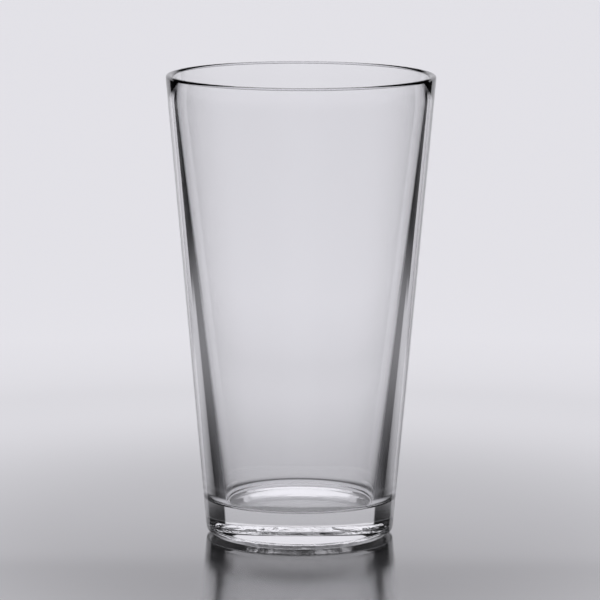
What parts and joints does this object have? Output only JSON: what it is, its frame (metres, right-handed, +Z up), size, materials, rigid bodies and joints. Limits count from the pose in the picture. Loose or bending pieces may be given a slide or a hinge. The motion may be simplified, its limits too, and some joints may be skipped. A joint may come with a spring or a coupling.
{
  "type": "pint glass",
  "caption": "Plain conical pint tumbler of clear pressed glass with thick straight walls that taper towards a rounded lip, and a solid base with a knurled foot edge.",
  "frame": {"origin": "middle of the flat bearing ring, on the surface that the glass stands on", "axes": "+Z up along the axis of the glass, from the foot to the mouth; +X and +Y are any two level directions, because the glass is round"},
  "size_m": [0.0878, 0.0878, 0.151],
  "materials": {
    "clear_glass": "fire-polished clear soda-lime glass"
  },
  "bodies": {
    "root": {"tumbler": "clear_glass"}
  },
  "joints": []
}
